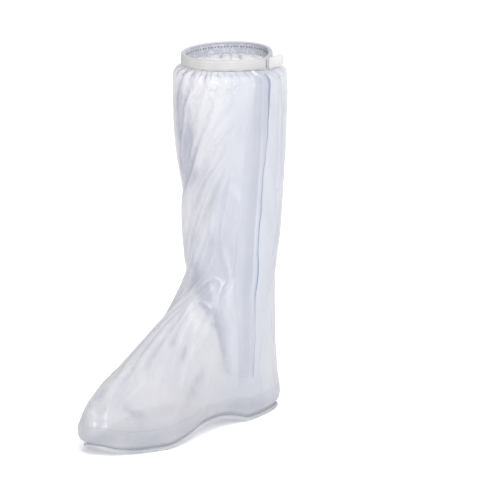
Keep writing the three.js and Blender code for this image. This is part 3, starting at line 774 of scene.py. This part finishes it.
def film_moves(around, shift, z):
    """How far the film moves from its folded shape. The foot and the shin are calmer than the rest."""
    coarse, out = folded_film(around, shift, z)
    proud = out * proud_film(coarse, z)[..., None]
    coarse = coarse + proud
    moved = crumple(coarse, out, z, around) - coarse
    size = np.linalg.norm(moved, axis=-1, keepdims=True)
    moved *= CAP * np.tanh(size / CAP) / np.maximum(size, 1e-9)
    calm = 0.5 * np.exp(-(((z[:, None] - 215) / 45) ** 2) - ((around - 0.48) / 0.12) ** 2)
    moved *= (mix(0.6, 1.0, smoothstep(coarse[..., 2], 90, 150)) * (1 - calm))[..., None]
    return moved + proud


def gather_shade_dashes(around, z):
    """Short dashes of painted shade in the gathers under the band."""
    turn = 2 * math.pi * around
    dashes = np.cos(PLEAT_COUNT * 2 * turn + 1.3 * np.sin(5 * turn) + 0.8 * np.sin(11 * turn + 1))
    below = (BAND_BOTTOM - z)[:, None]
    reach = 9 + 4 * np.sin(7 * turn) + 2 * np.sin(17 * turn)
    return smoothstep(dashes, 0.2, 0.95) * (1 - smoothstep(below, reach * 0.5, reach)) * (below > -1)


def make_film(rear=30, front=42):
    """The simulation runs on a grid of half as many points each way as the film has."""
    around, shift = film_places(rear, front)
    z = np.concatenate([
        [FILM_BOTTOM], np.linspace(LIP_TOP, ZIP_BOTTOM, 19)[:-1],
        np.linspace(ZIP_BOTTOM, BAND_BOTTOM, 143)[:-1], np.linspace(BAND_BOTTOM, FILM_TOP, 4)])
    moved = film_moves(around, shift, z)
    places = np.stack([around[0], shift[0]], axis=1)
    fine_places = between(np.vstack([places, [[1.0, places[0, 1]]]]), False)[:-1]
    fine_around, fine_shift = fine_places[:, 0][None, :], fine_places[:, 1][None, :]
    fine_z = between(z, False)
    moved = between(np.swapaxes(between(moved, False), 0, 1), True)
    moved = np.swapaxes(moved, 0, 1)
    points, out = folded_film(fine_around, fine_shift, fine_z)
    points = points + moved
    even = base_point(fine_around, fine_z, fine_shift)
    proud = ((points - even) * out).sum(axis=-1)
    # Painted shade in the film's hollows and painted light on its ridges, from how far each point stands in
    # or out of the points round it.
    fold_shade_and_light = 0.7 * (blur(proud, 6) - proud) + 0.35 * (blur(proud, 60) - blur(proud, 4))
    shade = -fold_push(even, SHADES, 3)
    points = points - out * SHADE_DEPTH * shade[..., None]
    low = int(np.argmax(fine_z >= ZIP_BOTTOM))
    slit = (2 * rear, 2 * rear + 1)
    faces = grid_faces(len(fine_z), fine_around.shape[1], True, lambda i, j: j in slit and i >= low)
    obj = add_mesh("film_body", points, faces, FILM, "film_boot")
    fold_shade_and_light = fold_shade_and_light * mix(0.55, 1, smoothstep(fine_z[:, None], 70, 140))
    fold_shade_and_light = fold_shade_and_light * mix(0.6, 1, smoothstep(points[..., 0], -35, -5))
    # The mark adds the painted shade and light of the fold streaks and of the gathers.
    mark(obj, "fold_shade_and_light", fold_shade_and_light + shade + 1.3 * gather_shade_dashes(fine_around, fine_z))
    mark(obj, "above_floor", np.repeat(fine_z, fine_around.shape[1]))
    beside = np.abs(points[..., 1] - side_line(fine_z[:, None]))
    mark(obj, "beside_zip", (1 - smoothstep(beside, 28, 44)) * (points[..., 0] > 0))


make_film()


# The outsole

def make_sole():
    outline = Outline(LIP_TOP)
    around, shift = film_places(40, 56)
    angle = outline.angle_at(around, shift)
    lip = LIP_WIDTH - LIP_SLIM
    profile = [(-3.0, 0.0), (lip - 1.6, 0.0), (lip - 0.7, 0.35), (lip - 0.15, 1.1), (lip, 2.0),
               (lip - 0.15, 2.7), (lip - 0.7, 3.3), (0.6, 3.7), (0.3, 3.8), (0.05, 3.7),
               (0.0, SOLE_THICKNESS), (-3.0, SOLE_THICKNESS)]
    rings = []
    for off, z in profile:
        ring = outline.point(angle) + outline.level(angle) * (GAP + off)
        ring[..., 2] = z + rise_at(outline.point(angle)[..., 1])
        rings.append(ring[0])
    count = around.shape[1]
    points, faces = loft(rings, caps=False)
    for base, turned in ((0, False), ((len(profile) - 1) * count, True)):
        for j in range(count // 2):
            a, b, c, d = base + j, base + j + 1, base + count - j - 1, base + (count - j) % count
            face = (a, b, c) if a == d else (a, b, c, d) if b != c else (a, b, d)
            faces.append(tuple(reversed(face)) if turned else face)
    turn_out(add_mesh("sole_plate", points, faces, SOLE_FILM, "outsole"))


make_sole()


# The band and its lining

def top_loop(split, count, section):
    """A loop round the top that is open at a place along Y. section gives its section at each share."""
    outline = Outline(HEIGHT)
    start = outline.angle_of(split + BAND_GAP / 2)[0, 0]
    end = outline.angle_of(split - BAND_GAP / 2)[0, 0] - 2 * math.pi
    angles = np.linspace(start, end, count + 1)[None, :]
    points, outs = outline.point(angles)[0], outline.level(angles)[0]
    sections = []
    for i in range(count + 1):
        off, z = np.array(section(i / count)).T
        ring = points[i] + outs[i] * off[:, None]
        ring[:, 2] = z
        sections.append(ring)
    return loft(sections)


def make_band():
    outer, inner = GAP + BAND_WALL, LINING_FACE - LINING_WALL
    low = BAND_BOTTOM + BAND_LIFT

    def section(share):
        wave = 0.25 * math.sin(2 * math.pi * PLEAT_COUNT * share)
        return [
            (GAP, low + 0.2 + wave), (outer - 0.4, low + wave),
            (outer, low + 0.5 + wave), (outer + wave * 0.6, low + 4),
            (outer + wave * 0.2, HEIGHT - 3), (outer - 0.1, HEIGHT - 1.4),
            (outer - 0.6, HEIGHT - 0.4), (outer - 1.3, HEIGHT), (outer - 1.7, HEIGHT - 0.1),
            (inner + 0.3, HEIGHT - 0.6), (inner, HEIGHT - 1.0), (inner + 0.2, HEIGHT - BAND_FOLD),
            (GAP, HEIGHT - BAND_FOLD)]

    count = 240
    points, faces = top_loop(BAND_SPLIT_PLACE, count, section)
    obj = add_mesh("band_tape", points, faces, BAND_SHADED, "top_band")
    mark(obj, "inside", np.tile([0] * 8 + [0.5] + [1] * 3 + [0], count + 1))
    turn_out(obj)


def make_lining():
    inner, outer = LINING_FACE - LINING_WALL, LINING_FACE
    low = FILM_TOP - LINING_HEIGHT
    levels = np.linspace(low + 0.3, FILM_TOP, 40)
    ribs = [(inner + 0.18 * math.cos(2 * math.pi * z / 1.5), z) for z in levels]
    section = [(outer, low), (inner + 0.3, low)] + ribs + [(outer, FILM_TOP)]
    points, faces = top_loop(side_line(HEIGHT), 200, lambda share: section)
    turn_out(add_mesh("lining_knit", points, faces, LINING, "elastic_lining"))


make_band()
make_lining()


# The tab

def make_tab():
    outline = Outline(HEIGHT)
    angle = outline.angle_of(BAND_SPLIT_PLACE + BAND_GAP / 2)
    off = 2 * GAP + BAND_WALL
    rearward = Vector((outline.point(angle - 0.02) - outline.point(angle))[0, 0]).normalized()
    start = Vector((outline.point(angle) + outline.level(angle) * off)[0, 0]) + rearward * TAB_SLIDE
    out = Vector(outline.level(angle)[0, 0])
    middle = HEIGHT - BAND_HEIGHT / 2 - TAB_SINK
    section = ((0.15, -1), (0.0, -0.9), (0.0, 0.9), (0.15, 1), (0.85, 1), (1.0, 0.9), (1.0, -0.9), (0.85, -1))
    sections = []
    place, last = start.copy(), 0.0
    for step in np.linspace(0, TAB_LENGTH, 30):
        spread = math.radians(TAB_SPREAD) * float(smoothstep(step, 0, TAB_LAP * 1.6))
        turn = Matrix.Rotation(-spread, 3, "Z")
        place = place + (turn @ rearward) * (step - last)
        last = step
        short = max(0, TAB_CORNER - min(step, TAB_LENGTH - step))
        half = TAB_HEIGHT / 2 - (TAB_CORNER - math.sqrt(max(0, TAB_CORNER**2 - short**2)))
        ring = []
        for thick, up in section:
            at = place + (turn @ out) * (thick * TAB_WALL)
            ring.append((at.x, at.y, middle + up * half))
        sections.append(ring)
    points, faces = loft(sections)
    turn_out(add_mesh("tab", points, faces, TAB, "closure_tab"))


make_tab()


# The flap and the zip

def strip_points(z, across, off):
    """Points beside the zip's line: distances to its rear and off the film's outer face."""
    z = np.asarray(z, float).reshape(-1, 1)
    across, off = np.broadcast_arrays(*np.atleast_2d(across, off))
    around = np.full(across.shape, 0.25)
    return base_point(around, z, across) + way_out(around, z, across) * off[..., None]


def make_flap():
    """Marks on it give a painted shadow along its free edge, where it also has a denser hem, a painted
    highlight just before that and a fainter one along its front edge, and the teeth's lines that show
    through.
    """
    levels = np.linspace(CHAIN_START, FLAP_TOP, 150)
    teeth = LINING_FACE + CHAIN_RISE
    columns = 52
    share = (levels - CHAIN_START) / (FLAP_TOP - CHAIN_START)
    front = FLAP_OVERLAP - FLAP_WIDTH * read(FLAP[:, 0], FLAP[:, 1], 1 - share)[:, None]
    swing = smoothstep(levels, 60, 190) * (1 - smoothstep(levels, 240, 335))
    back = FLAP_OVERLAP - FLAP_SWING * swing[:, None]
    across = mix(front, back, np.linspace(0, 1, columns)[None, :])
    hump = np.interp(across, [-FLAP_WIDTH, -CHAIN_WIDTH, -CHAIN_WIDTH / 2, CHAIN_WIDTH / 2, FLAP_OVERLAP],
                     [0, 0.2, teeth, teeth, 0.3])
    free = np.linspace(0, 1, columns)[None, :] ** 6
    lift = 0.5 * free * (1 + np.sin(levels / 11.0) + 0.6 * np.sin(levels / 4.3))[:, None]
    across = across + 0.35 * free * np.sin(levels / 17.0)[:, None]
    grid = strip_points(levels, across, GAP + FLAP_WALL / 2 + hump + lift)
    obj = add_mesh("flap_strip", grid, grid_faces(len(levels), columns), FLAP_FILM, "zip_flap")
    wide = 1.6 + 1.8 * smoothstep(share, 0.86, 0.98)[:, None]
    # Painted shadow where the free edge lifts off the film, widest at the top, over a denser hem.
    rear = smoothstep(across - back, -wide, -wide / 2)
    plain = smoothstep(levels, 90, 120) * (1 - 0.6 * smoothstep(levels, 225, 300))
    # Painted highlights: one a little in from the free edge, and a fainter one along the front edge.
    glint = 0.45 * (1 - smoothstep(np.abs(across - back + 4.4), 0.3, 1.1)) * plain[:, None]
    fore = 0.15 * smoothstep(-(across - front), -1.8, -0.9) * plain[:, None]
    teeth_line = 0.12 * smoothstep(-np.abs(np.abs(across) - CHAIN_WIDTH), -0.9, -0.2)
    rear = rear * (0.75 + 0.25 * np.sin(levels / 23.0))[:, None]
    mark(obj, "edge", np.clip(rear - fore - glint + teeth_line, -1, 1))


def make_zip():
    levels = np.linspace(CHAIN_START, FLAP_TOP, 90)
    face, tape, chain = LINING_FACE, TAPE_WIDTH / 2, CHAIN_WIDTH / 2
    section = [(-tape, face - TAPE_WALL), (tape, face - TAPE_WALL), (tape, face), (chain, face),
               (chain, face + 0.6), (-chain, face + 0.6), (-chain, face), (-tape, face)]
    across, off = zip(*section)
    shape = (len(levels), 1)
    points, faces = loft(strip_points(levels, np.tile(across, shape), np.tile(off, shape)))
    turn_out(add_mesh("zip_tape", points, faces, ZIP, "side_zip", smooth=False))


def make_blocks(name, centres, rights, ups, outs, size, material, node):
    """Small rounded blocks, each with its own place and directions."""
    outline = ((-1, -0.5), (-0.5, -1), (0.5, -1), (1, -0.5), (1, 0.5), (0.5, 1), (-0.5, 1), (-1, 0.5))
    corners = np.array([(x, y, z) for z in (-1, 1) for x, y in outline])
    corners[8:, :2] *= 0.7
    wide, tall, deep = np.asarray(size) / 2
    points = centres[:, None] + (rights[:, None] * (corners[:, 0] * wide)[None, :, None]
                                 + ups[:, None] * (corners[:, 1] * tall)[None, :, None]
                                 + outs[:, None] * (corners[:, 2] * deep)[None, :, None])
    faces = []
    for k in range(len(centres)):
        first = 16 * k
        faces += [(first + i, first + (i + 1) % 8, first + 8 + (i + 1) % 8, first + 8 + i) for i in range(8)]
        faces.append(tuple(first + 8 + i for i in range(8)))
        faces.append(tuple(first + 7 - i for i in range(8)))
    turn_out(add_mesh(name, points, faces, material, node, smooth=False))


def make_teeth(pitch=1.7, size=(1.9, 1.1, 1.2)):
    z = np.arange(ZIP_BOTTOM + 2, FLAP_TOP - 1, pitch / 2)
    side = np.where(np.arange(len(z)) % 2 == 0, 0.55, -0.55)[:, None]
    off = np.full_like(side, LINING_FACE + (CHAIN_RISE + 0.6) / 2)
    centres = strip_points(z, side, off)[:, 0]
    outs = way_out(np.full_like(side, 0.25), z, side)[:, 0]
    ups = unit(strip_points(z + 1, 0 * side, off)[:, 0] - strip_points(z - 1, 0 * side, off)[:, 0])
    rights = np.cross(ups, outs)
    make_blocks("zip_teeth", centres, rights, ups, outs, size, TEETH, "side_zip")


def make_stitches(pitch=3.6, drop=5.0, size=(2.0, 1.7, 0.5)):
    outline = Outline(HEIGHT)
    girth = math.pi * (BAND_WIDTH + BAND_DEPTH) / 2
    angles = np.linspace(0.05, 2 * math.pi - 0.05, int(girth / pitch))[None, :]
    line = side_line(HEIGHT)
    points, outs = outline.point(angles)[0], outline.level(angles)[0]
    keep = (points[:, 0] < 0) | (np.abs(points[:, 1] - line) > 4)
    points, outs = points[keep], outs[keep]
    ups = np.tile([0.0, 0.0, 1.0], (len(points), 1))
    rights = np.cross(ups, outs)
    points = points + outs * (LINING_FACE - LINING_WALL - 0.12)
    points[:, 2] = HEIGHT - drop
    make_blocks("lining_stitches", points, rights, ups, -outs, size, STITCH, "elastic_lining")


make_flap()
make_zip()
make_teeth()
make_stitches()


# Floor, light and camera

def make_stage(reach=12.0, level=-0.0002):
    n = Nodes("pale_floor")
    grain = n.noise(n.place(), 3.0)
    colour = n.colour(n.ramp(grain, 0.3, 0.7), (0.94, 0.94, 0.94, 1), (0.955, 0.955, 0.955, 1))
    paper = n.add("ShaderNodeBsdfPrincipled", {
        "Base Color": colour, "Roughness": 0.9, "Emission Color": colour, "Emission Strength": 0.24})
    corners = [(x * reach, y * reach, level) for x, y in ((-1, -1), (1, -1), (1, 1), (-1, 1))]
    mesh = bpy.data.meshes.new("floor")
    mesh.from_pydata(corners, [], [(0, 1, 2, 3)])
    mesh.materials.append(n.finish(paper.outputs[0]))
    floor = bpy.data.objects.new("floor", mesh)
    bpy.context.scene.collection.objects.link(floor)


def way_to(azimuth, elevation):
    """The way from the object to where a light or the camera stands."""
    a, e = math.radians(azimuth), math.radians(elevation)
    return Vector((math.sin(a) * math.cos(e), -math.cos(a) * math.cos(e), math.sin(e)))


def add_sun(name, azimuth, elevation, strength, spread):
    data = bpy.data.lights.new(name, "SUN")
    data.energy = strength
    data.angle = math.radians(spread)
    light = bpy.data.objects.new(name, data)
    light.rotation_euler = way_to(azimuth, elevation).to_track_quat("Z", "Y").to_euler()
    bpy.context.scene.collection.objects.link(light)


def make_camera(azimuth=40.0, elevation=13.3, distance=10.0, lens=705.6, target=(0, 0, 0.19),
                right_by=0.07194, up_by=-0.00153):
    """The camera stands far away and looks at a point beside the target, so the cover lies left of middle."""
    back = way_to(azimuth, elevation)
    right = Vector((math.cos(math.radians(azimuth)), math.sin(math.radians(azimuth)), 0))
    up = back.cross(right)
    data = bpy.data.cameras.new("camera")
    data.lens = lens
    data.sensor_width = 36
    data.clip_end = 100
    camera = bpy.data.objects.new("camera", data)
    turn = Matrix((right, up, back)).transposed()
    place = Vector(target) + back * distance + right * right_by + up * up_by
    camera.matrix_world = Matrix.Translation(place) @ turn.to_4x4()
    bpy.context.scene.collection.objects.link(camera)
    bpy.context.scene.camera = camera


def make_world(colour=(0.985, 0.985, 1.0, 1), strength=0.45):
    world = bpy.data.worlds.new("studio")
    world.use_nodes = True
    sky = world.node_tree.nodes["Background"]
    sky.inputs["Color"].default_value = colour
    sky.inputs["Strength"].default_value = strength
    bpy.context.scene.world = world
    bpy.context.scene.view_settings.view_transform = "Standard"


make_stage()
add_sun("key", azimuth=52, elevation=34, strength=2.5, spread=30)
add_sun("top", azimuth=150, elevation=78, strength=1.1, spread=60)
make_camera()
make_world()
